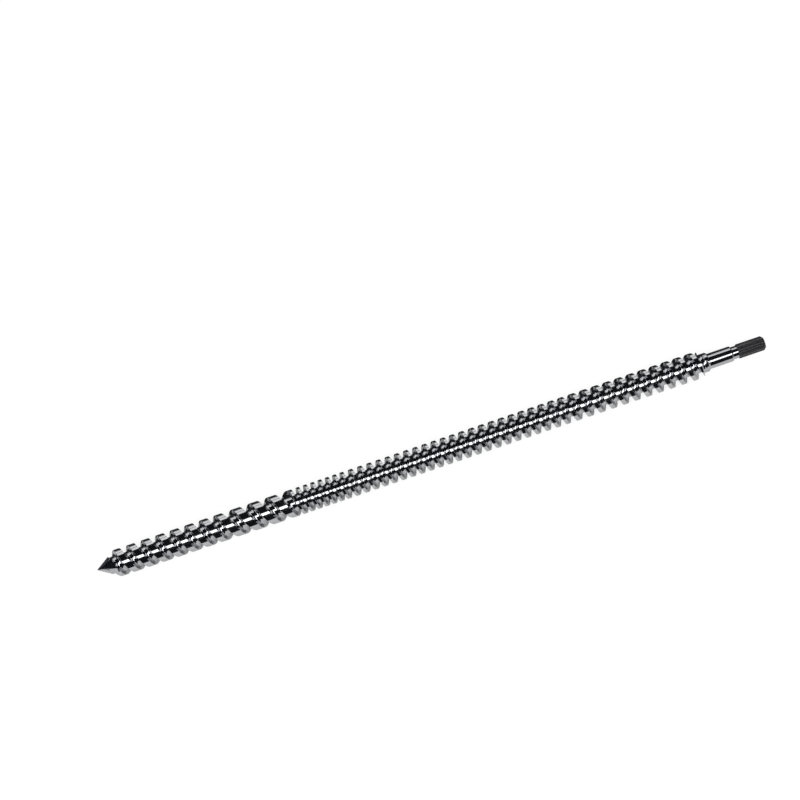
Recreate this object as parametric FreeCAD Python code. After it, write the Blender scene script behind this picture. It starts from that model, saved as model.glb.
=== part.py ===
"""One screw of a parallel counter-rotating twin-screw extruder, turned and milled from one bar.

The screw lies along X, with its pointed tip towards -X and its splined drive end towards +X. It
rests on its flights on the plane Z = 0. All lengths are in millimetres and all angles in degrees.

The flights are right-handed helical ribs. Each turn of a rib is built as a fixed number of flats,
so crests and channel floors are plane faces and the flanks between them are pairs of triangles.
The cone of the tip and the shoulder of the collar are then turned into the ribbed bar, and the
shank, neck and spline are added behind it.
"""
import FreeCAD, Part
import math
import os
from FreeCAD import Vector

# Flighted length
screw_dia = 75.0
root_dia = 43.0
starts = 2
flank_angle = 4.0
flight_clock = 165.0
flats_per_turn = 20

# Metering zone, next to the tip: its length, the lead of its flights and the width of their crests
metering_length = 300.0
metering_lead = 82.5
metering_crest = 18.8

# Vent zone, with the widest channels
vent_length = 204.0
vent_lead = 100.5
vent_crest = 23.4

# Seal zone, with the tightest flights
seal_length = 146.0
seal_lead = 41.5
seal_crest = 8.0

# Squeeze zone
squeeze_length = 328.0
squeeze_lead = 52.1
squeeze_crest = 8.3

# Intake zone
intake_length = 300.0
intake_lead = 56.25
intake_crest = 9.4

# Feed zone, next to the drive end
feed_length = 372.0
feed_lead = 66.0
feed_crest = 11.8

# Conical tip
tip_length = 57.0
nose_dia = 2.4

# Collar, where the channels run out at a smaller diameter than the flights
collar_dia = 52.0
collar_length = 22.0
collar_chamfer = 2.0

# Plain shank
shank_dia = 42.0
shank_length = 67.0
shank_chamfer = 3.2

# Neck that parts the shank from the spline
neck_dia = 34.5
neck_length = 15.0

# Splined drive end, whose teeth have straight flanks
spline_dia = 39.6
spline_root_dia = 35.4
spline_teeth = 18
spline_length = 76.0
tooth_tip_width = 2.2
tooth_foot_width = 4.4
end_chamfer = 6.0

# Lathe centre in the drive end
centre_dia = 10.6
centre_angle = 60.0
drill_dia = 5.0
drill_depth = 14.0

# How far a turning tool stands clear of the metal where it cuts nothing
tool_gap = 2.0
SEW_TOLERANCE = 1e-4
ALONG = Vector(1, 0, 0)
ORIGIN = Vector(0, 0, 0)

screw_radius = screw_dia / 2
root_radius = root_dia / 2
flat_angle = 360.0 / flats_per_turn
axis_height = screw_radius * math.cos(math.radians(flat_angle / 2))
flank_run = (screw_radius - root_radius) * math.tan(math.radians(flank_angle))

ZONES = (
    (metering_length, metering_lead, metering_crest),
    (vent_length, vent_lead, vent_crest),
    (seal_length, seal_lead, seal_crest),
    (squeeze_length, squeeze_lead, squeeze_crest),
    (intake_length, intake_lead, intake_crest),
    (feed_length, feed_lead, feed_crest),
)

# Stations along the axis, counted from the point of the tip
flights_end = tip_length + sum(length for length, lead, crest in ZONES)
collar_end = flights_end + collar_length
shank_end = collar_end + shank_length
neck_end = shank_end + neck_length
drive_end = neck_end + spline_length


def zone_rows():
    """Start station, end station, turns at the start, lead and crest width of each zone."""
    rows = []
    station, turns = tip_length, 0.0
    for length, lead, crest in ZONES:
        rows.append((station, station + length, turns, lead, crest))
        station += length
        turns += length / lead
    return rows


def station_of(turns):
    """The station that a flight has reached after so many turns from the base of the tip."""
    rows = zone_rows()
    row = [r for r in rows if r[2] <= turns][-1] if turns > 0 else rows[0]
    return row[0] + (turns - row[2]) * row[3]


def crest_at(station):
    """The width of a crest at a station."""
    rows = zone_rows()
    return [r for r in rows if station < r[1] or r is rows[-1]][0][4]


def edge_angle(column):
    """The angle about the axis, from +Y towards +Z, of the edge where a column of flats starts.

    Column 0 lies at the bottom, so that the screw rests on flats.
    """
    return 270.0 - flat_angle / 2 + column * flat_angle


def crossing(column, index):
    """Where a column's edge crosses a flight: foot, crest edge, crest edge and foot."""
    turns = (edge_angle(column) - flight_clock) / 360.0 + index / starts
    middle = station_of(turns)
    half = crest_at(middle) / 2
    return middle - half - flank_run, middle - half, middle + half, middle + half + flank_run


def corner(radius, column, station):
    """A point on a column's edge."""
    angle = math.radians(edge_angle(column))
    return Vector(station, radius * math.cos(angle), radius * math.sin(angle))


def flat(points):
    """A plane face through its corners."""
    return Part.Face(Part.makePolygon(points + [points[0]]))


def rib_corners(column, stations):
    """Foot, crest edge, crest edge and foot of a flight where it crosses a column's edge."""
    radii = (root_radius, screw_radius, screw_radius, root_radius)
    return [corner(radius, column, station) for radius, station in zip(radii, stations)]


def rib_faces(column, here, there):
    """Crest and flanks of one flight over one column, from its crossings of both edges."""
    foot, edge, far_edge, far_foot = rib_corners(column, here)
    foot_on, edge_on, far_edge_on, far_foot_on = rib_corners(column + 1, there)
    return [
        flat([edge, far_edge, far_edge_on, edge_on]),
        flat([foot, edge, edge_on]),
        flat([foot, edge_on, foot_on]),
        flat([far_edge, far_foot, far_edge_on]),
        flat([far_foot, far_foot_on, far_edge_on]),
    ]


def floor_face(column, here, there):
    """Channel floor over one column, between the stations given for each of its edges."""
    near = [corner(root_radius, column, station) for station in here]
    far = [corner(root_radius, column + 1, station) for station in reversed(there)]
    return flat(near + far)


def index_range():
    """First and last crossing of each edge, so that the flights run past both ends of the screw."""
    first = 0
    while crossing(flats_per_turn, first)[3] > 0:
        first -= 1
    last = 0
    while crossing(0, last)[0] < collar_end:
        last += 1
    return first, last


def ribbed_bar():
    """The root bar with its flights, longer than the screw at both ends."""
    first, last = index_range()
    indices = range(first, last + 1)
    opening = [crossing(0, k) for k in range(first, first + starts)]
    closing = [crossing(flats_per_turn, k) for k in range(last - starts + 1, last + 1)]
    bar_start = opening[0][0] - screw_dia
    bar_end = closing[-1][3] + screw_dia
    opening_feet = [foot for c in opening for foot in (c[0], c[3])]
    closing_feet = [foot for c in closing for foot in (c[0], c[3])]

    faces = [flat(rib_corners(0, c)) for c in opening]
    faces += [flat(rib_corners(flats_per_turn, c)) for c in closing]
    for column in range(flats_per_turn):
        here = [crossing(column, k) for k in indices]
        there = [crossing(column + 1, k) for k in indices]
        for pair in zip(here, there):
            faces += rib_faces(column, *pair)
        channels_here = [(rib[3], rib_after[0]) for rib, rib_after in zip(here, here[1:])]
        channels_there = [(rib[3], rib_after[0]) for rib, rib_after in zip(there, there[1:])]
        faces += [floor_face(column, *pair) for pair in zip(channels_here, channels_there)]
        front = opening_feet if column == flats_per_turn - 1 else []
        back = closing_feet if column == 0 else []
        faces.append(floor_face(column, (bar_start, here[0][0]), [bar_start] + front + [there[0][0]]))
        faces.append(floor_face(column, [here[-1][3]] + back + [bar_end], (there[-1][3], bar_end)))
    for station in (bar_start, bar_end):
        faces.append(flat([corner(root_radius, column, station) for column in range(flats_per_turn)]))

    shell = Part.makeCompound(faces)
    shell.sewShape(SEW_TOLERANCE)
    return solid_of(shell)


def solid_of(shell):
    """A solid from a closed shell, with its faces outwards."""
    solid = Part.makeSolid(shell)
    if solid.Volume < 0:
        solid.reverse()
    return solid


def turned(outline):
    """A body of revolution about the axis, from its outline as (station, radius) pairs."""
    points = [Vector(station, radius, 0) for station, radius in outline]
    return Part.Face(Part.makePolygon(points + [points[0]])).revolve(ORIGIN, ALONG, 360)


def turned_outline():
    """What the lathe leaves of the ribbed bar: the tip's cone, the full bar and the collar."""
    nose_radius = nose_dia / 2
    clear_radius = screw_radius + tool_gap
    clear_start = tip_length * (clear_radius - nose_radius) / (screw_radius - nose_radius)
    return turned([
        (0, 0),
        (0, nose_radius),
        (clear_start, clear_radius),
        (flights_end, clear_radius),
        (flights_end, collar_dia / 2),
        (collar_end - collar_chamfer, collar_dia / 2),
        (collar_end, collar_dia / 2 - collar_chamfer),
        (collar_end, 0),
    ])


def shank_and_neck():
    """The plain shank with its chamfer, and the neck up to the spline."""
    return turned([
        (collar_end, 0),
        (collar_end, shank_dia / 2),
        (shank_end - shank_chamfer, shank_dia / 2),
        (shank_end, shank_dia / 2 - shank_chamfer),
        (shank_end, neck_dia / 2),
        (neck_end, neck_dia / 2),
        (neck_end, 0),
    ])


def tooth_corners(tooth):
    """The four corners of one spline tooth in its cross-section."""
    middle = 360.0 * tooth / spline_teeth
    tip_radius, foot_radius = spline_dia / 2, spline_root_dia / 2
    tip_half = math.degrees(tooth_tip_width / spline_dia)
    foot_half = math.degrees(tooth_foot_width / spline_root_dia)
    corners = (
        (foot_radius, middle - foot_half),
        (tip_radius, middle - tip_half),
        (tip_radius, middle + tip_half),
        (foot_radius, middle + foot_half),
    )
    return [polar(radius, angle) for radius, angle in corners]


def polar(radius, angle):
    """A point in the cross-section where the spline starts."""
    turn = math.radians(angle)
    return Vector(neck_end, radius * math.cos(turn), radius * math.sin(turn))


def spline():
    """The splined end with its lead-in chamfer."""
    corners = [point for tooth in range(spline_teeth) for point in tooth_corners(tooth)]
    teeth = flat(corners).extrude(ALONG * spline_length)
    chamfered = turned([
        (neck_end, 0),
        (neck_end, spline_dia / 2 + tool_gap),
        (drive_end - end_chamfer - tool_gap, spline_dia / 2 + tool_gap),
        (drive_end, spline_dia / 2 - end_chamfer),
        (drive_end, 0),
    ])
    return teeth.common(chamfered)


def lathe_centre():
    """The conical centre and its pilot hole, as the tool that bores them into the drive end."""
    sink_depth = (centre_dia - drill_dia) / 2 / math.tan(math.radians(centre_angle / 2))
    return turned([
        (drive_end + tool_gap, 0),
        (drive_end + tool_gap, centre_dia / 2),
        (drive_end, centre_dia / 2),
        (drive_end - sink_depth, drill_dia / 2),
        (drive_end - drill_depth, drill_dia / 2),
        (drive_end - drill_depth, 0),
    ])


def screw():
    """The whole screw, lying on its flights with the middle of its length at X = 0."""
    flighted = ribbed_bar().common(turned_outline())
    whole = flighted.fuse([shank_and_neck(), spline()]).cut(lathe_centre())
    solid = whole.Solids[0]
    solid.translate(Vector(-drive_end / 2, 0, axis_height))
    return solid


def main():
    os.makedirs("parts", exist_ok=True)
    body = screw()
    body.exportStep("parts/screw.step")
    box = body.BoundBox
    print("screw: %.1f long, %.1f wide, %.1f high, %.3f litres, valid %s" % (
        box.XLength, box.YLength, box.ZLength, body.Volume / 1e6, body.isValid()))


main()
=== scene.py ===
"""Dresses one screw of a twin-screw extruder in its real, round form and its polished finish.

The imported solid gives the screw's box, axis and length. Two pieces stand for it here: the bright
ground bar, from the tip to the neck, and the dark splined end. A plain studio shows them.
"""
import logging
import math
from dataclasses import dataclass
from enum import Enum

import bmesh
import bpy
from mathutils import Matrix, Vector


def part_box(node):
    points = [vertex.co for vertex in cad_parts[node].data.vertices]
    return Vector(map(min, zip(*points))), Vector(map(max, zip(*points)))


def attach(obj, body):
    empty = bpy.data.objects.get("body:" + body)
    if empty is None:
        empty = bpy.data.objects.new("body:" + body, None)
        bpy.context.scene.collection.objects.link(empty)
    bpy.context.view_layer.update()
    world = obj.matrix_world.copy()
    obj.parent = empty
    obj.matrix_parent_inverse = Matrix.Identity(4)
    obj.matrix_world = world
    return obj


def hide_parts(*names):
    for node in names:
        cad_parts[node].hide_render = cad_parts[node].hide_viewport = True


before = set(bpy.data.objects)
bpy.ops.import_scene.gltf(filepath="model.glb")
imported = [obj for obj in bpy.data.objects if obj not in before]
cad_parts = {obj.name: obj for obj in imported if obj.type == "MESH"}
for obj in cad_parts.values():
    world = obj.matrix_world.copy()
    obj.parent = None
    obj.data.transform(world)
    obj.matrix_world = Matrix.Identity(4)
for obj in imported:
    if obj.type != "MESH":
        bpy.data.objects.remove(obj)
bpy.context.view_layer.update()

LOG = logging.getLogger("extruder_screw")
MM = 0.001
SEAM_GAP = 1e-6
STREAK_RANGE = {"From Min": 0.35, "From Max": 0.65}
HAZE_RANGE = {"From Min": 0.38, "From Max": 0.7}
SOLID = "screw"
BODY = "root"

Socket = bpy.types.NodeSocket
Value = Socket | float


class Slot(Enum):
    """The material slots, by the names of their materials."""

    POLISHED = "polished_steel"
    SPLINE = "spline_steel"


class Rays(Enum):
    """The kinds of ray that a studio card can be hidden from."""

    CAMERA = "visible_camera"
    DIFFUSE = "visible_diffuse"
    SHADOW = "visible_shadow"


class Sheet:
    """A node tree under construction, with short calls for the nodes that repeat."""

    def __init__(self, name: str, kind: str) -> None:
        """Starts an empty node group.

        Args:
            name: The group's name.
            kind: Blender's type of tree, such as GeometryNodeTree.
        """
        self.tree = bpy.data.node_groups.new(name, kind)
        self.entry = self.tree.nodes.new("NodeGroupInput")
        self.exit = self.tree.nodes.new("NodeGroupOutput")

    def take(self, name: str, kind: str, value: object = None) -> Socket:
        """Adds a named input.

        Args:
            name: The input's name.
            kind: Its socket type.
            value: Its default, or None to leave Blender's.

        Returns:
            The socket that the input gives inside the tree.
        """
        socket = self.tree.interface.new_socket(name, in_out="INPUT", socket_type=kind)
        if value is not None:
            socket.default_value = value
        return self.entry.outputs[name]

    def give(self, name: str, kind: str, source: Socket) -> None:
        """Adds a named output and joins it to its source."""
        self.tree.interface.new_socket(name, in_out="OUTPUT", socket_type=kind)
        self.tree.links.new(source, self.exit.inputs[name])

    def node(
        self, kind: str, inputs: dict[str | int, object] | None = None, **settings: object,
    ) -> bpy.types.Node:
        """Adds a node.

        Args:
            kind: The node's type.
            inputs: What feeds its inputs, by name or place: a socket or a value.
            **settings: The node's own properties.

        Returns:
            The node.
        """
        made = self.tree.nodes.new(kind)
        for name, value in settings.items():
            setattr(made, name, value)
        for name, value in (inputs or {}).items():
            self.feed(made.inputs[name], value)
        return made

    def feed(self, socket: Socket, value: object) -> None:
        """Joins a socket to another, or sets its value."""
        if isinstance(value, bpy.types.NodeSocket):
            self.tree.links.new(value, socket)
        else:
            socket.default_value = value

    def math(self, operation: str, *values: Value) -> Socket:
        """Adds a Math node and returns its result."""
        return self.node("ShaderNodeMath", dict(enumerate(values)), operation=operation).outputs[0]

    def total(self, *values: Value) -> Socket:
        """Adds values up."""
        result = values[0]
        for value in values[1:]:
            result = self.math("ADD", result, value)
        return result

    def pick(self, index: Socket, values: list[Value]) -> Socket:
        """Chooses one of several numbers by its place in a list."""
        switch = self.node("GeometryNodeIndexSwitch", data_type="FLOAT")
        while len(switch.index_switch_items) < len(values):
            switch.index_switch_items.new()
        self.feed(switch.inputs["Index"], index)
        for place, value in enumerate(values):
            self.feed(switch.inputs[str(place)], value)
        return switch.outputs[0]


@dataclass(frozen=True)
class Zone:
    """One zone of the flights. Lengths are in metres."""

    name: str
    length: float
    lead: float
    crest: float
    fillet: float


@dataclass(frozen=True)
class Axis:
    """Where the screw lies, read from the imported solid. Lengths are in metres."""

    start: float
    end: float
    height: float

    @classmethod
    def of_solid(cls, node: str) -> "Axis":
        """Reads the axis from the box of the solid that lies along it."""
        low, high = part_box(node)
        return cls(start=low[0], end=high[0], height=(low[2] + high[2]) / 2)

    @property
    def middle(self) -> Vector:
        """The middle of the axis."""
        return Vector(((self.start + self.end) / 2, 0.0, self.height))

    @property
    def radius(self) -> float:
        """The crest radius at which the screw just touches the floor."""
        return self.height


def new_object(name: str, mesh: bpy.types.Mesh) -> bpy.types.Object:
    """Puts a mesh in the scene, as an object at the origin."""
    made = bpy.data.objects.new(name, mesh)
    bpy.context.scene.collection.objects.link(made)
    return made


def turned_mesh(name: str, outline: list[tuple[float, float]], axis: Axis, segments: int) -> bpy.types.Mesh:
    """A closed body of revolution about the screw's axis.

    Args:
        name: The mesh's name.
        outline: Its corners, each a distance from the tip and a radius, with both ends on the axis.
        axis: The screw's axis.
        segments: How many sides a full turn has.

    Returns:
        The mesh.
    """
    made = bmesh.new()
    corners = [made.verts.new((axis.start + along, 0.0, axis.height + radius)) for along, radius in outline]
    edges = [made.edges.new(pair) for pair in zip(corners, corners[1:])]
    bmesh.ops.spin(
        made, geom=corners + edges, cent=axis.middle, axis=(1.0, 0.0, 0.0),
        angle=math.tau, steps=segments, use_merge=True,
    )
    bmesh.ops.remove_doubles(made, verts=made.verts, dist=SEAM_GAP)
    bmesh.ops.recalc_face_normals(made, faces=made.faces)
    mesh = bpy.data.meshes.new(name)
    made.to_mesh(mesh)
    made.free()
    return mesh


def rounded(corner: tuple[float, float], before: tuple[float, float], after: tuple[float, float],
            radius: float, steps: int = 4) -> list[tuple[float, float]]:
    """Rounds one corner of an outline.

    Args:
        corner: The corner.
        before: The corner before it.
        after: The corner after it.
        radius: How far from the corner the rounding starts and ends.
        steps: How many pieces the rounding has.

    Returns:
        The points that replace the corner.
    """
    here = Vector(corner)
    start = here + (Vector(before) - here).normalized() * radius
    end = here + (Vector(after) - here).normalized() * radius
    points = []
    for step in range(steps + 1):
        share = step / steps
        bend = start.lerp(here, share).lerp(here.lerp(end, share), share)
        points.append((bend[0], bend[1]))
    return points


def plain_mesh(source: bpy.types.Object, name: str) -> bpy.types.Object:
    """Turns an object with a live modifier into a plain one, and removes the first.

    Args:
        source: The object that carries the modifier.
        name: The name of the plain object.

    Returns:
        The plain object.
    """
    evaluated = source.evaluated_get(bpy.context.evaluated_depsgraph_get())
    mesh = bpy.data.meshes.new_from_object(evaluated)
    bpy.data.objects.remove(source)
    return new_object(name, mesh)


def outward(mesh: bpy.types.Mesh) -> None:
    """Turns a closed mesh's faces outwards."""
    made = bmesh.new()
    made.from_mesh(mesh)
    bmesh.ops.recalc_face_normals(made, faces=made.faces)
    made.to_mesh(mesh)
    made.free()


def crisp(mesh: bpy.types.Mesh, angle: float) -> None:
    """Shades a mesh smooth, apart from the edges that turn by more than an angle in degrees."""
    mesh.shade_smooth()
    mesh.set_sharp_from_angle(angle=math.radians(angle))


@dataclass
class GroundBar:
    """The bright length of the screw: tip, flights, collar, shank and neck. Lengths are in metres."""

    axis: Axis
    zones: tuple[Zone, ...] = (
        Zone("Metering", 300 * MM, 82.5 * MM, 18.8 * MM, 8.0 * MM),
        Zone("Vent", 204 * MM, 100.5 * MM, 23.4 * MM, 8.0 * MM),
        Zone("Seal", 146 * MM, 41.5 * MM, 8.0 * MM, 5.0 * MM),
        Zone("Squeeze", 328 * MM, 52.1 * MM, 8.3 * MM, 7.2 * MM),
        Zone("Intake", 300 * MM, 56.25 * MM, 9.4 * MM, 7.6 * MM),
        Zone("Feed", 372 * MM, 66.0 * MM, 11.8 * MM, 8.0 * MM),
    )
    root_radius: float = 21.5 * MM
    starts: int = 2
    flank_angle: float = 4.0
    flight_clock: float = 165.0
    ramp_turns: float = 0.25
    edge_break: float = 0.3 * MM
    tip_length: float = 57.0 * MM
    nose_radius: float = 1.2 * MM
    end_break: float = 2.0 * MM
    collar_radius: float = 26.0 * MM
    collar_length: float = 22.0 * MM
    collar_chamfer: float = 2.0 * MM
    shank_radius: float = 21.0 * MM
    shank_length: float = 67.0 * MM
    shank_chamfer: float = 3.2 * MM
    neck_radius: float = 17.25 * MM
    neck_length: float = 15.0 * MM
    corner_round: float = 0.6 * MM
    columns: int = 72
    fillet_steps: int = 5
    start_angle: float = 270.0
    overrun: float = 0.75
    closing_leads: float = 2.0
    tool_gap: float = 2.0 * MM
    nose_round: float = 0.8
    crease_angle: float = 32.0

    @property
    def flights_end(self) -> float:
        """Where the flights end, from the tip."""
        return self.tip_length + sum(zone.length for zone in self.zones)

    @property
    def collar_end(self) -> float:
        """Where the collar ends, from the tip."""
        return self.flights_end + self.collar_length

    @property
    def neck_end(self) -> float:
        """Where the neck meets the spline, from the tip."""
        return self.collar_end + self.shank_length + self.neck_length

    def turns_in(self, zone: Zone) -> float:
        """How many turns a flight makes in a zone."""
        return zone.length / zone.lead

    @property
    def turn_range(self) -> tuple[float, float]:
        """The turns between which the flights are made, a little past both ends of the bar."""
        first, last = self.zones[0], self.zones[-1]
        opening = -self.tip_length / first.lead
        closing = sum(map(self.turns_in, self.zones)) + self.collar_length / last.lead
        return opening - self.overrun, closing + self.overrun

    @property
    def clock_turns(self) -> float:
        """The turn that the first flight has reached at the seam, at the base of the tip."""
        return (self.start_angle - self.flight_clock) / 360.0

    @property
    def first_rib(self) -> int:
        """The number of the first rib that a line along the bar crosses."""
        return math.floor((self.turn_range[0] - self.clock_turns - 1.0) * self.starts)

    @property
    def rib_count(self) -> int:
        """How many ribs a line along the bar crosses, with those past both ends."""
        return math.ceil((self.turn_range[1] - self.clock_turns) * self.starts) - self.first_rib + 1

    @property
    def half_points(self) -> int:
        """How many points half a section has: the floor's, the fillet's and both ends of the edge break."""
        return 1 + (self.fillet_steps + 1) + 2

    def half_section(
        self, sheet: Sheet, sizes: dict[str, Socket], fillet: Socket,
    ) -> tuple[list[Value], list[Value]]:
        """The section of half a rib, from the channel floor up to its crest.

        Args:
            sheet: The tree that works the section out.
            sizes: The tree's inputs by name.
            fillet: The radius between the channel floor and the flank.

        Returns:
            How far each point stands out from the crest's edge along the bar, and its radius.
        """
        slope = math.tan(math.radians(self.flank_angle))
        sweep = math.radians(90.0 - self.flank_angle)
        outer, root = sizes["Outer Radius"], sizes["Root Radius"]
        edge = sizes["Edge Break"]
        arc_radius = sheet.math("ADD", root, fillet)
        arc_height = sheet.math("SUBTRACT", outer, arc_radius)
        arc_out = sheet.math(
            "ADD", sheet.math("MULTIPLY", arc_height, slope),
            sheet.math("DIVIDE", fillet, math.cos(math.radians(self.flank_angle))),
        )
        outs = [sheet.math("ADD", arc_out, edge)]
        radii = [root]
        for step in range(self.fillet_steps + 1):
            turn = sweep * step / self.fillet_steps
            outs.append(sheet.math("SUBTRACT", arc_out, sheet.math("MULTIPLY", fillet, math.sin(turn))))
            radii.append(sheet.math("SUBTRACT", arc_radius, sheet.math("MULTIPLY", fillet, math.cos(turn))))
        outs += [0.0, sheet.math("MULTIPLY", edge, -1.0)]
        radii += [sheet.math("SUBTRACT", outer, edge), outer]
        return outs, radii

    def station(self, sheet: Sheet, turns: Socket) -> Socket:
        """How far from the tip a flight is after so many turns from the base of the tip."""
        result = sheet.entry.outputs["Tip Length"]
        behind = 0.0
        for zone in self.zones:
            done = sheet.math("SUBTRACT", turns, behind)
            count = self.turns_in(zone)
            if zone is not self.zones[-1]:
                done = sheet.math("MINIMUM", done, count)
            if zone is not self.zones[0]:
                done = sheet.math("MAXIMUM", done, 0.0)
            result = sheet.math("MULTIPLY_ADD", done, sheet.entry.outputs[zone.name + " Lead"], result)
            behind += count
        return result

    def zone_size(self, sheet: Sheet, turns: Socket, kind: str) -> Socket:
        """A size that differs from zone to zone, after so many turns from the base of the tip.

        What gets narrower has done so by the border of the zones, and what gets wider starts there.

        Args:
            sheet: The tree that works the size out.
            turns: The turns.
            kind: Which size, Crest or Fillet.

        Returns:
            The size.
        """
        result = sheet.entry.outputs[f"{self.zones[0].name} {kind}"]
        border = 0.0
        for zone, after in zip(self.zones, self.zones[1:]):
            border += self.turns_in(zone)
            narrows = getattr(after, kind.lower()) < getattr(zone, kind.lower())
            start = border - self.ramp_turns if narrows else border
            ramp = {"Value": turns, "From Min": start, "From Max": start + self.ramp_turns}
            reached = sheet.node("ShaderNodeMapRange", ramp).outputs[0]
            size = sheet.entry.outputs[f"{zone.name} {kind}"]
            size_after = sheet.entry.outputs[f"{after.name} {kind}"]
            change = sheet.math("SUBTRACT", size_after, size)
            result = sheet.math("MULTIPLY_ADD", reached, change, result)
        return result

    def tree(self) -> bpy.types.NodeTree:
        """The tree that winds the flights, trims them to the turned outline and adds the shank.

        A grid has one column for each direction round the axis. Its rows follow each rib's section in
        turn, so that they run along the flights. Rows past both ends close on the axis.

        Returns:
            The tree.
        """
        sheet = Sheet("Wound flights", "GeometryNodeTree")
        outline = sheet.take("Turned Outline", "NodeSocketObject")
        shank = sheet.take("Shank", "NodeSocketObject")
        finish = sheet.take("Finish", "NodeSocketMaterial")
        sizes = {name: sheet.take(name, "NodeSocketFloat", value) for name, value in (
            ("Tip", self.axis.start), ("Axis Height", self.axis.height),
            ("Outer Radius", self.axis.radius), ("Root Radius", self.root_radius),
            ("Edge Break", self.edge_break), ("Tip Length", self.tip_length),
        )}
        for zone in self.zones:
            sheet.take(zone.name + " Lead", "NodeSocketFloat", zone.lead)
            sheet.take(zone.name + " Crest", "NodeSocketFloat", zone.crest)
            sheet.take(zone.name + " Fillet", "NodeSocketFloat", zone.fillet)

        half = self.half_points
        section = 2 * half
        rows = section * self.rib_count
        grid = sheet.node("GeometryNodeMeshGrid", {"Vertices X": self.columns + 1, "Vertices Y": rows})
        index = sheet.node("GeometryNodeInputIndex").outputs[0]
        column = sheet.math("FLOOR", sheet.math("DIVIDE", sheet.math("ADD", index, 0.5), float(rows)))
        row = sheet.math("SUBTRACT", index, sheet.math("MULTIPLY", column, float(rows)))
        rib = sheet.math("FLOOR", sheet.math("DIVIDE", sheet.math("ADD", row, 0.5), float(section)))
        place = sheet.math("SUBTRACT", row, sheet.math("MULTIPLY", rib, float(section)))

        far_side = sheet.math("GREATER_THAN", place, half - 0.5)
        side = sheet.math("MULTIPLY_ADD", far_side, 2.0, -1.0)
        mirrored = sheet.math("SUBTRACT", section - 1.0, place)
        point = sheet.math("MINIMUM", place, mirrored)

        around = sheet.math("DIVIDE", column, float(self.columns))
        wound = sheet.math("DIVIDE", sheet.math("ADD", rib, float(self.first_rib)), float(self.starts))
        turns = sheet.total(around, wound, self.clock_turns)
        outs, radii = self.half_section(sheet, sizes, self.zone_size(sheet, turns, "Fillet"))
        out = sheet.pick(point, outs)
        radius = sheet.pick(point, radii)
        half_crest = sheet.math("MULTIPLY", self.zone_size(sheet, turns, "Crest"), 0.5)
        offset = sheet.math("MULTIPLY", side, sheet.math("ADD", half_crest, out))
        along = sheet.math("ADD", self.station(sheet, turns), offset)

        opening, closing = self.turn_range
        before = sheet.math("LESS_THAN", turns, opening)
        after = sheet.math("GREATER_THAN", turns, closing)
        inside = sheet.math("SUBTRACT", 1.0, sheet.math("ADD", before, after))
        near_end = -self.closing_leads * self.zones[0].lead
        far_end = self.collar_end + self.closing_leads * self.zones[-1].lead
        along = sheet.total(
            sheet.math("MULTIPLY", along, inside), sheet.math("MULTIPLY", before, near_end),
            sheet.math("MULTIPLY", after, far_end),
        )
        radius = sheet.math("MULTIPLY", radius, inside)

        angle = sheet.math("MULTIPLY_ADD", around, math.tau, math.radians(self.start_angle))
        x = sheet.math("ADD", along, sizes["Tip"])
        y = sheet.math("MULTIPLY", radius, sheet.math("COSINE", angle))
        z = sheet.math("MULTIPLY_ADD", radius, sheet.math("SINE", angle), sizes["Axis Height"])
        spot = sheet.node("ShaderNodeCombineXYZ", {"X": x, "Y": y, "Z": z}).outputs[0]
        placed = sheet.node("GeometryNodeSetPosition", {"Geometry": grid.outputs["Mesh"], "Position": spot})
        seam = {"Geometry": placed.outputs[0], "Distance": SEAM_GAP}
        closed = sheet.node("GeometryNodeMergeByDistance", seam)

        outline_body = sheet.node("GeometryNodeObjectInfo", {"Object": outline}).outputs["Geometry"]
        shank_body = sheet.node("GeometryNodeObjectInfo", {"Object": shank}).outputs["Geometry"]
        trimmed = sheet.node("GeometryNodeMeshBoolean", operation="INTERSECT", solver="MANIFOLD")
        sheet.tree.links.new(outline_body, trimmed.inputs["Mesh 2"])
        sheet.tree.links.new(closed.outputs[0], trimmed.inputs["Mesh 2"])
        whole = sheet.node("GeometryNodeMeshBoolean", operation="UNION", solver="MANIFOLD")
        sheet.tree.links.new(shank_body, whole.inputs["Mesh 2"])
        sheet.tree.links.new(trimmed.outputs["Mesh"], whole.inputs["Mesh 2"])
        real = sheet.node("GeometryNodeRealizeInstances", {"Geometry": whole.outputs["Mesh"]})
        dressed = sheet.node("GeometryNodeSetMaterial", {"Geometry": real.outputs[0], "Material": finish})
        sheet.give("Geometry", "NodeSocketGeometry", dressed.outputs[0])
        return sheet.tree

    def turned_outline(self) -> list[tuple[float, float]]:
        """What turning leaves of the flighted bar: the cone of the tip, the crests and the collar."""
        clear = self.axis.radius + self.tool_gap
        slope = (self.axis.radius - self.nose_radius) / self.tip_length
        cone_end = ((clear - self.nose_radius) / slope, clear)
        nose = (0.0, self.nose_radius)
        return [
            (0.0, 0.0),
            *rounded(nose, (0.0, 0.0), cone_end, self.nose_radius * self.nose_round),
            cone_end,
            (self.flights_end - self.end_break - self.tool_gap, clear),
            (self.flights_end, self.axis.radius - self.end_break),
            (self.flights_end, self.collar_radius),
            (self.collar_end - self.collar_chamfer, self.collar_radius),
            (self.collar_end, self.collar_radius - self.collar_chamfer),
            (self.collar_end, 0.0),
        ]

    def shank_outline(self) -> list[tuple[float, float]]:
        """The shank, its chamfer and the neck. They start a little way inside the collar."""
        inside = self.collar_end - self.collar_chamfer
        shank_end = self.collar_end + self.shank_length
        chamfer_start = (shank_end - self.shank_chamfer, self.shank_radius)
        chamfer_end = (shank_end, self.shank_radius - self.shank_chamfer)
        return [
            (inside, 0.0),
            (inside, self.shank_radius),
            *rounded(chamfer_start, (inside, self.shank_radius), chamfer_end, self.corner_round),
            chamfer_end,
            (shank_end, self.neck_radius),
            (self.neck_end, self.neck_radius),
            (self.neck_end, 0.0),
        ]

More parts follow.
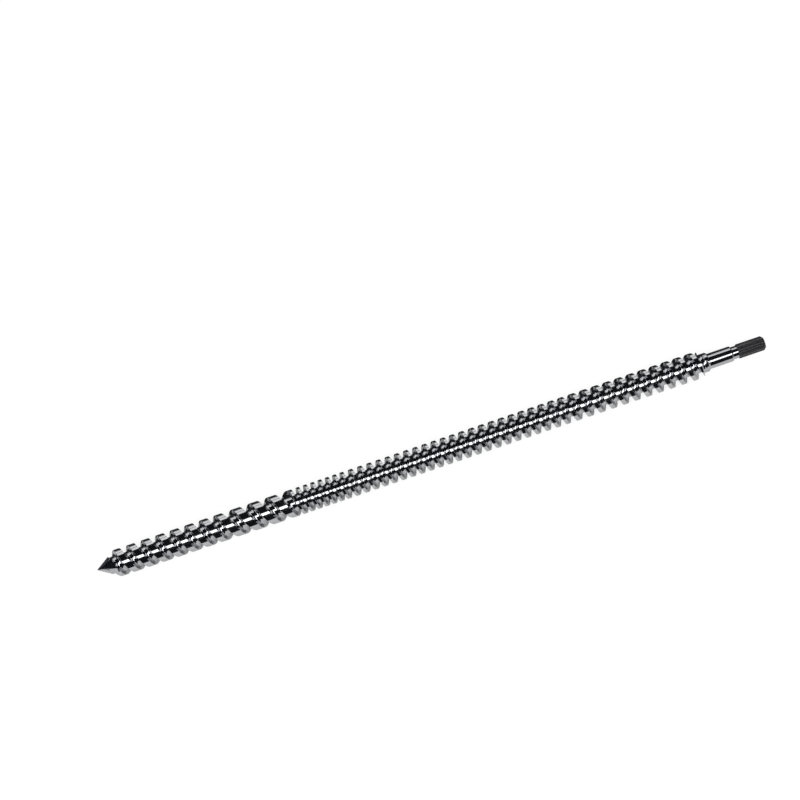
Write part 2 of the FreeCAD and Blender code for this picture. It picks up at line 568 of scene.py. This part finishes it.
    def build(self, finish: bpy.types.Material) -> bpy.types.Object:
        """Makes the bar.

        Args:
            finish: Its material.

        Returns:
            The bar as a plain object at the origin.
        """
        helpers = {
            "Turned Outline": turned_mesh("outline", self.turned_outline(), self.axis, self.columns),
            "Shank": turned_mesh("shank", self.shank_outline(), self.axis, self.columns),
        }
        made = new_object("winding", bpy.data.meshes.new("winding"))
        wind = made.modifiers.new("Wound flights", "NODES")
        wind.node_group = self.tree()
        sockets = {item.name: item.identifier for item in wind.node_group.interface.items_tree}
        wind[sockets["Finish"]] = finish
        for name, mesh in helpers.items():
            wind[sockets[name]] = new_object(mesh.name, mesh)
        bar = plain_mesh(made, "ground_bar")
        for mesh in helpers.values():
            bpy.data.objects.remove(bpy.data.objects[mesh.name])
        crisp(bar.data, self.crease_angle)
        return bar


@dataclass
class SplinedEnd:
    """The dark drive end: spline teeth, lead-in chamfer and lathe centre. Lengths are in metres."""

    axis: Axis
    start: float
    length: float = 76.0 * MM
    teeth: int = 18
    tip_radius: float = 19.8 * MM
    root_radius: float = 17.7 * MM
    tip_width: float = 2.2 * MM
    foot_width: float = 4.4 * MM
    flank_bulge: float = 0.14 * MM
    bulge_height: float = 0.55
    foot_fillet: float = 0.45 * MM
    fillet_points: tuple[tuple[float, float], ...] = ((1.0, 0.0), (0.3, 0.3), (-0.1, 1.0))
    edge_break: float = 0.2 * MM
    start_chamfer: float = 0.8 * MM
    end_chamfer: float = 6.0 * MM
    centre_radius: float = 5.3 * MM
    centre_depth: float = 4.85 * MM
    drill_radius: float = 2.5 * MM
    drill_depth: float = 14.0 * MM
    crease_angle: float = 32.0

    def half_tooth(self) -> tuple[list[float], list[float]]:
        """The section of half a tooth, from its foot to its tip.

        Returns:
            How far each point lies from the tooth's middle round the axis, and its radius.
        """
        foot, tip = self.foot_width / 2, self.tip_width / 2
        depth = self.tip_radius - self.root_radius
        widths = [foot + out * self.foot_fillet for out, up in self.fillet_points]
        radii = [self.root_radius + up * self.foot_fillet for out, up in self.fillet_points]
        widths += [(foot + tip) / 2 + self.flank_bulge, tip, tip - self.edge_break]
        radii.append(self.root_radius + self.bulge_height * depth)
        radii += [self.tip_radius - self.edge_break, self.tip_radius]
        return widths, radii

    def length_rows(self) -> tuple[list[float], list[float]]:
        """The stations along the spline where its outline changes, and the largest radius at each."""
        end = self.start + self.length
        depth = self.tip_radius - self.root_radius
        chamfer_start = end - self.end_chamfer
        rows = [
            (self.start, 0.0),
            (self.start, self.tip_radius - self.start_chamfer),
            (self.start + self.start_chamfer, self.tip_radius),
            (chamfer_start, self.tip_radius),
            (chamfer_start + depth / 2, self.tip_radius - depth / 2),
            (chamfer_start + depth, self.root_radius),
            (end, self.tip_radius - self.end_chamfer),
            (end, self.centre_radius),
            (end - self.centre_depth, self.drill_radius),
            (end - self.drill_depth, self.drill_radius),
            (end - self.drill_depth - self.drill_radius / 2, 0.0),
        ]
        return [row[0] for row in rows], [row[1] for row in rows]

    def tree(self) -> bpy.types.NodeTree:
        """The tree that sets the teeth round the axis and chamfers them.

        A grid has one column for each point of each tooth's section, and one row for each change of
        the outline along the axis.

        Returns:
            The tree.
        """
        sheet = Sheet("Cut teeth", "GeometryNodeTree")
        finish = sheet.take("Finish", "NodeSocketMaterial")
        teeth = sheet.take("Teeth", "NodeSocketFloat", float(self.teeth))
        tip = sheet.take("Tip", "NodeSocketFloat", self.axis.start)
        height = sheet.take("Axis Height", "NodeSocketFloat", self.axis.height)

        widths, radii = self.half_tooth()
        stations, limits = self.length_rows()
        section, rows = 2 * len(widths), len(stations)
        grid = sheet.node("GeometryNodeMeshGrid", {"Vertices Y": rows})
        columns = sheet.math("MULTIPLY_ADD", teeth, float(section), 1.0)
        sheet.tree.links.new(columns, grid.inputs["Vertices X"])
        index = sheet.node("GeometryNodeInputIndex").outputs[0]
        column = sheet.math("FLOOR", sheet.math("DIVIDE", sheet.math("ADD", index, 0.5), float(rows)))
        row = sheet.math("SUBTRACT", index, sheet.math("MULTIPLY", column, float(rows)))
        tooth = sheet.math("FLOOR", sheet.math("DIVIDE", sheet.math("ADD", column, 0.5), float(section)))
        place = sheet.math("SUBTRACT", column, sheet.math("MULTIPLY", tooth, float(section)))

        far_side = sheet.math("GREATER_THAN", place, len(widths) - 0.5)
        side = sheet.math("MULTIPLY_ADD", far_side, 2.0, -1.0)
        point = sheet.math("MINIMUM", place, sheet.math("SUBTRACT", section - 1.0, place))
        section_radius = sheet.pick(point, radii)
        radius = sheet.math("MINIMUM", section_radius, sheet.pick(row, limits))
        turn = sheet.math("DIVIDE", sheet.math("MULTIPLY", side, sheet.pick(point, widths)), section_radius)
        angle = sheet.math("MULTIPLY_ADD", tooth, sheet.math("DIVIDE", math.tau, teeth), turn)

        x = sheet.math("ADD", sheet.pick(row, stations), tip)
        y = sheet.math("MULTIPLY", radius, sheet.math("COSINE", angle))
        z = sheet.math("MULTIPLY_ADD", radius, sheet.math("SINE", angle), height)
        spot = sheet.node("ShaderNodeCombineXYZ", {"X": x, "Y": y, "Z": z}).outputs[0]
        placed = sheet.node("GeometryNodeSetPosition", {"Geometry": grid.outputs["Mesh"], "Position": spot})
        seam = {"Geometry": placed.outputs[0], "Distance": SEAM_GAP}
        closed = sheet.node("GeometryNodeMergeByDistance", seam)
        real = sheet.node("GeometryNodeRealizeInstances", {"Geometry": closed.outputs[0]})
        dressed = sheet.node("GeometryNodeSetMaterial", {"Geometry": real.outputs[0], "Material": finish})
        sheet.give("Geometry", "NodeSocketGeometry", dressed.outputs[0])
        return sheet.tree

    def build(self, finish: bpy.types.Material) -> bpy.types.Object:
        """Makes the splined end.

        Args:
            finish: Its material.

        Returns:
            The splined end as a plain object at the origin.
        """
        made = new_object("cutting", bpy.data.meshes.new("cutting"))
        cut = made.modifiers.new("Cut teeth", "NODES")
        cut.node_group = self.tree()
        sockets = {item.name: item.identifier for item in cut.node_group.interface.items_tree}
        cut[sockets["Finish"]] = finish
        end = plain_mesh(made, "splined_end")
        outward(end.data)
        crisp(end.data, self.crease_angle)
        return end


def machining_marks() -> bpy.types.NodeTree:
    """The shader group for the fine lines that a tool or stone leaves, as a height and a streak mask."""
    sheet = Sheet("Machining marks", "ShaderNodeTree")
    along = sheet.take("Lines Along", "NodeSocketFloat", 1500.0)
    around = sheet.take("Lines Around", "NodeSocketFloat", 20.0)
    place = sheet.node("ShaderNodeTexCoord").outputs["Object"]
    scale = sheet.node("ShaderNodeCombineXYZ", {"X": along, "Y": around, "Z": around}).outputs[0]
    stretched = sheet.node("ShaderNodeVectorMath", {0: place, 1: scale}, operation="MULTIPLY").outputs[0]
    noise = sheet.node("ShaderNodeTexNoise", {"Vector": stretched, "Scale": 1.0, "Detail": 3.0}).outputs[0]
    streak = sheet.node("ShaderNodeMapRange", {"Value": noise, **STREAK_RANGE}).outputs[0]
    sheet.give("Height", "NodeSocketFloat", noise)
    sheet.give("Streak", "NodeSocketFloat", streak)
    return sheet.tree


def oil_haze() -> bpy.types.NodeTree:
    """The shader group for the uneven film that wiping leaves on bare metal, as a mask."""
    sheet = Sheet("Oil haze", "ShaderNodeTree")
    patches = sheet.take("Patches", "NodeSocketFloat", 25.0)
    place = sheet.node("ShaderNodeTexCoord").outputs["Object"]
    broad = sheet.node(
        "ShaderNodeTexNoise", {"Vector": place, "Scale": patches, "Detail": 4.0, "Distortion": 0.6},
    ).outputs[0]
    mask = sheet.node("ShaderNodeMapRange", {"Value": broad, **HAZE_RANGE}).outputs[0]
    sheet.give("Mask", "NodeSocketFloat", mask)
    return sheet.tree


def depth_below() -> bpy.types.NodeTree:
    """The shader group for painted shade, which tells recesses from the ground outside by distance from the
    axis.
    """
    sheet = Sheet("Depth below outside", "ShaderNodeTree")
    height = sheet.take("Axis Height", "NodeSocketFloat", 0.0)
    outer = sheet.take("Outer Radius", "NodeSocketFloat", 1.0)
    depth = sheet.take("Depth", "NodeSocketFloat", 1.0)
    place = sheet.node("ShaderNodeTexCoord").outputs["Object"]
    parts = sheet.node("ShaderNodeSeparateXYZ", {0: place})
    across = parts.outputs["Y"]
    up = sheet.math("SUBTRACT", parts.outputs["Z"], height)
    squares = sheet.math("MULTIPLY_ADD", across, across, sheet.math("MULTIPLY", up, up))
    radius = sheet.math("SQRT", squares)
    below = sheet.math("DIVIDE", sheet.math("SUBTRACT", outer, radius), depth)
    mask = sheet.node("ShaderNodeClamp", {"Value": below}).outputs[0]
    sheet.give("Mask", "NodeSocketFloat", mask)
    return sheet.tree


@dataclass(frozen=True)
class EffectGroups:
    """The shader groups that the finishes share."""

    marks: bpy.types.NodeTree
    haze: bpy.types.NodeTree
    # The mask for the painted shade in the recesses.
    depth: bpy.types.NodeTree

    @classmethod
    def made(cls) -> "EffectGroups":
        """Builds each group once."""
        return cls(marks=machining_marks(), haze=oil_haze(), depth=depth_below())


@dataclass(frozen=True)
class SteelFinish:
    """A bare steel surface, described by its colour, gloss and machining marks, with painted shade that
    darkens the colour in its recesses.
    """

    name: str
    outside: tuple[float, float, float]
    # Painted shade: the colour deep in the recesses, darker than outside.
    recess: tuple[float, float, float]
    gloss_roughness: float
    haze_roughness: float
    lines_along: float
    lines_around: float
    mark_depth: float
    outer_radius: float
    # How far below the outer radius the painted shade reaches its full darkness.
    recess_depth: float
    streak_share: float = 0.35
    mark_strength: float = 0.5

    def material(self, groups: EffectGroups, axis: Axis) -> bpy.types.Material:
        """Builds the material.

        Args:
            groups: The shared shader groups.
            axis: The screw's axis.

        Returns:
            The material.
        """
        made = bpy.data.materials.new(self.name)
        made.use_nodes = True
        nodes, links = made.node_tree.nodes, made.node_tree.links
        shader = next(node for node in nodes if node.type == "BSDF_PRINCIPLED")
        shader.inputs["Metallic"].default_value = 1.0

        def group(tree: bpy.types.NodeTree, **values: float) -> bpy.types.Node:
            """Places a shader group with its own values."""
            placed = nodes.new("ShaderNodeGroup")
            placed.node_tree = tree
            for name, value in values.items():
                placed.inputs[name.replace("_", " ")].default_value = value
            return placed

        marks = group(groups.marks, Lines_Along=self.lines_along, Lines_Around=self.lines_around)
        haze = group(groups.haze)
        # Painted shade: the mask grows deeper into the recesses and darkens the colour there, from the
        # outside colour to the recess colour.
        depth = group(
            groups.depth, Axis_Height=axis.height, Outer_Radius=self.outer_radius, Depth=self.recess_depth,
        )
        colour = nodes.new("ShaderNodeMix")
        colour.data_type = "RGBA"
        colour.inputs["A"].default_value = (*self.outside, 1.0)
        colour.inputs["B"].default_value = (*self.recess, 1.0)
        links.new(depth.outputs["Mask"], colour.inputs["Factor"])
        links.new(colour.outputs["Result"], shader.inputs["Base Color"])

        gloss = nodes.new("ShaderNodeMapRange")
        gloss.inputs["To Min"].default_value = self.gloss_roughness
        gloss.inputs["To Max"].default_value = self.haze_roughness
        blend = nodes.new("ShaderNodeMath")
        blend.operation = "MULTIPLY_ADD"
        links.new(marks.outputs["Streak"], blend.inputs[0])
        blend.inputs[1].default_value = self.streak_share
        links.new(haze.outputs["Mask"], blend.inputs[2])
        links.new(blend.outputs[0], gloss.inputs["Value"])
        links.new(gloss.outputs[0], shader.inputs["Roughness"])

        bump = nodes.new("ShaderNodeBump")
        bump.inputs["Strength"].default_value = self.mark_strength
        bump.inputs["Distance"].default_value = self.mark_depth
        links.new(marks.outputs["Height"], bump.inputs["Height"])
        links.new(bump.outputs["Normal"], shader.inputs["Normal"])
        return made


def plain_material(name: str, colour: tuple[float, float, float]) -> bpy.types.Material:
    """A matt studio surface of one colour."""
    made = bpy.data.materials.new(name)
    made.use_nodes = True
    shader = next(node for node in made.node_tree.nodes if node.type == "BSDF_PRINCIPLED")
    shader.inputs["Base Color"].default_value = (*colour, 1.0)
    shader.inputs["Roughness"].default_value = 0.9
    shader.inputs["Specular IOR Level"].default_value = 0.0
    return made


@dataclass
class Studio:
    """The floor, the strip light, the dark cards and the camera. Lengths are in metres, angles in degrees."""

    axis: Axis
    floor_colour: tuple[float, float, float] = (0.58, 0.58, 0.58)
    card_colour: tuple[float, float, float] = (0.012, 0.013, 0.016)
    fence_colour: tuple[float, float, float] = (0.07, 0.072, 0.08)
    floor_size: float = 60.0
    card_radius: float = 2.4
    card_length: float = 9.0
    card_steps: int = 12
    rear_card: tuple[float, float] = (-13.0, 46.0)
    divider_card: tuple[float, float] = (67.0, 71.0)
    front_card: tuple[float, float] = (-91.0, -32.0)
    end_card_distance: float = 4.0
    end_card_half: float = 3.6
    end_card_span: tuple[float, float] = (58.0, 88.0)
    fence_distance: float = 46.0 * MM
    fence_span: tuple[float, float] = (0.5 * MM, 62.0 * MM)
    strip_angle: float = -24.0
    strip_distance: float = 2.6
    strip_width: float = 1.5
    strip_length: float = 7.8
    strip_power: float = 60.0
    sky_strength: float = 0.85
    glow_share: float = 0.62
    glow_strength: float = 1.3
    camera_distance: float = 5.70
    camera_elevation: float = 75.0
    camera_roll: float = 18.84
    camera_lens: float = 95.7
    camera_sensor: float = 36.0
    aim_left: float = 0.0819
    aim_up: float = 0.1509

    def floor(self) -> bpy.types.Object:
        """The floor that the screw lies on."""
        half = self.floor_size / 2
        mesh = bpy.data.meshes.new("floor")
        corners = [(-half, -half, 0.0), (half, -half, 0.0), (half, half, 0.0), (-half, half, 0.0)]
        mesh.from_pydata(corners, [], [(0, 1, 2, 3)])
        mesh.materials.append(self.floor_finish())
        return new_object("floor", mesh)

    def floor_finish(self) -> bpy.types.Material:
        """The floor's pale surface, which the camera sees as nearly white and which keeps the shadow."""
        made = plain_material("pale_floor", self.floor_colour)
        nodes, links = made.node_tree.nodes, made.node_tree.links
        surface = next(node for node in nodes if node.type == "BSDF_PRINCIPLED")
        output = next(node for node in nodes if node.type == "OUTPUT_MATERIAL")
        paths = nodes.new("ShaderNodeLightPath")
        share = nodes.new("ShaderNodeMath")
        share.operation = "MULTIPLY"
        share.inputs[1].default_value = self.glow_share
        glow = nodes.new("ShaderNodeEmission")
        glow.inputs["Strength"].default_value = self.glow_strength
        blend = nodes.new("ShaderNodeMixShader")
        links.new(paths.outputs["Is Camera Ray"], share.inputs[0])
        links.new(share.outputs[0], blend.inputs["Fac"])
        links.new(surface.outputs[0], blend.inputs[1])
        links.new(glow.outputs[0], blend.inputs[2])
        links.new(blend.outputs[0], output.inputs["Surface"])
        return made

    def dark_card(
        self, name: str, corners: list[tuple[float, float, float]], faces: list[tuple[int, int, int, int]],
        colour: tuple[float, float, float],
    ) -> bpy.types.Object:
        """A dark card that shows only in reflections.

        Args:
            name: The card's name.
            corners: Its corners.
            faces: The corners of each of its faces.
            colour: Its colour.

        Returns:
            The card.
        """
        mesh = bpy.data.meshes.new(name)
        mesh.from_pydata(corners, [], faces)
        mesh.materials.append(plain_material(name, colour))
        made = new_object(name, mesh)
        for rays in Rays:
            setattr(made, rays.value, False)
        return made

    def bent_card(self, name: str, span: tuple[float, float]) -> bpy.types.Object:
        """A card that bends round the screw.

        Args:
            name: The card's name.
            span: The angles from straight up where it starts and ends, positive towards the back.

        Returns:
            The card.
        """
        half = self.card_length / 2
        corners, faces = [], []
        for step in range(self.card_steps + 1):
            angle = math.radians(span[0] + (span[1] - span[0]) * step / self.card_steps)
            across = self.card_radius * math.sin(angle)
            up = self.axis.height + self.card_radius * math.cos(angle)
            corners += [(-half, across, up), (half, across, up)]
        for step in range(self.card_steps):
            first = 2 * step
            faces.append((first, first + 1, first + 3, first + 2))
        return self.dark_card(name, corners, faces, self.card_colour)

    def end_card(self, name: str, side: float) -> bpy.types.Object:
        """A flat card across one end of the studio, between two angles from straight up."""
        along, half = side * self.end_card_distance, self.end_card_half
        high, low = (self.end_card_distance / math.tan(math.radians(angle)) for angle in self.end_card_span)
        corners = [(along, -half, low), (along, half, low), (along, half, high), (along, -half, high)]
        return self.dark_card(name, corners, [(0, 1, 2, 3)], self.card_colour)

    def fence(self) -> bpy.types.Object:
        """A low card close behind the screw, which darkens the upper edges of the flights."""
        half, across = self.card_length / 2, self.fence_distance
        low, high = self.fence_span
        corners = [(-half, across, low), (half, across, low), (half, across, high), (-half, across, high)]
        return self.dark_card("fence", corners, [(0, 1, 2, 3)], self.fence_colour)

    def strip(self) -> bpy.types.Object:
        """The soft strip light over the screw."""
        lamp = bpy.data.lights.new("strip_light", "AREA")
        lamp.shape = "RECTANGLE"
        lamp.size = self.strip_length
        lamp.size_y = self.strip_width
        lamp.energy = self.strip_power
        made = bpy.data.objects.new("strip_light", lamp)
        bpy.context.scene.collection.objects.link(made)
        angle = math.radians(self.strip_angle)
        away = Vector((0.0, math.sin(angle), math.cos(angle)))
        made.location = self.axis.middle + away * self.strip_distance
        made.rotation_euler = (-angle, 0.0, 0.0)
        made.visible_camera = False
        return made

    def sky(self) -> None:
        """The even light round the scene, which the camera and reflections see as white."""
        world = bpy.data.worlds.new("studio")
        world.use_nodes = True
        nodes, links = world.node_tree.nodes, world.node_tree.links
        background = next(node for node in nodes if node.type == "BACKGROUND")
        paths = nodes.new("ShaderNodeLightPath")
        seen = nodes.new("ShaderNodeMath")
        seen.operation = "MAXIMUM"
        links.new(paths.outputs["Is Camera Ray"], seen.inputs[0])
        links.new(paths.outputs["Is Glossy Ray"], seen.inputs[1])
        strength = nodes.new("ShaderNodeMapRange")
        strength.inputs["To Min"].default_value = self.sky_strength
        strength.inputs["To Max"].default_value = 1.0
        links.new(seen.outputs[0], strength.inputs["Value"])
        links.new(strength.outputs[0], background.inputs["Strength"])
        background.inputs["Color"].default_value = (1.0, 1.0, 1.0, 1.0)
        bpy.context.scene.world = world

    def camera(self) -> bpy.types.Object:
        """The camera, square to the axis, high over the front and rolled so that the drive end rises."""
        tilt, roll = math.radians(self.camera_elevation), math.radians(self.camera_roll)
        back = Vector((0.0, -math.cos(tilt), math.sin(tilt)))
        level = Vector((1.0, 0.0, 0.0))
        up = back.cross(level)
        right, up = (
            level * math.cos(roll) - up * math.sin(roll),
            level * math.sin(roll) + up * math.cos(roll),
        )
        place = self.axis.middle + back * self.camera_distance
        aim = self.axis.middle - right * self.aim_left + up * self.aim_up
        back = (place - aim).normalized()
        right = up.cross(back).normalized()
        up = back.cross(right)
        data = bpy.data.cameras.new("camera")
        data.lens = self.camera_lens
        data.sensor_width = self.camera_sensor
        made = bpy.data.objects.new("camera", data)
        bpy.context.scene.collection.objects.link(made)
        turn = Matrix((right, up, back)).transposed().to_4x4()
        made.matrix_world = Matrix.Translation(place) @ turn
        bpy.context.scene.camera = made
        return made

    def build(self) -> None:
        """Sets the whole studio up."""
        self.floor()
        self.bent_card("rear_card", self.rear_card)
        self.bent_card("front_card", self.front_card)
        self.bent_card("divider_card", self.divider_card)
        self.fence()
        self.end_card("tip_card", -1.0)
        self.end_card("drive_card", 1.0)
        self.strip()
        self.sky()
        self.camera()
        bpy.context.scene.view_settings.view_transform = "Standard"


def dress(piece: bpy.types.Object) -> None:
    """Hands a finished piece to the frame: it rides on the screw and stands for its solid."""
    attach(piece, BODY)
    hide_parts(SOLID)
    LOG.info("%s: %d faces", piece.name, len(piece.data.polygons))


def main() -> None:
    """Builds the pieces in order and shows them in the studio."""
    logging.basicConfig(level=logging.INFO, format="%(message)s")
    axis = Axis.of_solid(SOLID)
    groups = EffectGroups.made()
    bar = GroundBar(axis)
    end = SplinedEnd(axis, start=bar.neck_end)
    polished = SteelFinish(
        # The second colour is painted shade, darker deep in the channels.
        name=Slot.POLISHED.value, outside=(0.62, 0.625, 0.64), recess=(0.59, 0.60, 0.62),
        gloss_roughness=0.05, haze_roughness=0.12, lines_along=2600.0, lines_around=30.0,
        mark_depth=0.004 * MM, outer_radius=axis.radius, recess_depth=4.0 * MM,
    )
    milled = SteelFinish(
        # The second colour is painted shade, darker in the tooth roots.
        name=Slot.SPLINE.value, outside=(0.12, 0.12, 0.125), recess=(0.07, 0.07, 0.074),
        gloss_roughness=0.38, haze_roughness=0.55, lines_along=12.0, lines_around=1800.0,
        mark_depth=0.02 * MM, outer_radius=end.tip_radius, recess_depth=2.0 * MM,
    )
    dress(bar.build(polished.material(groups, axis)))
    dress(end.build(milled.material(groups, axis)))
    Studio(axis).build()


if __name__ == "__main__":
    main()
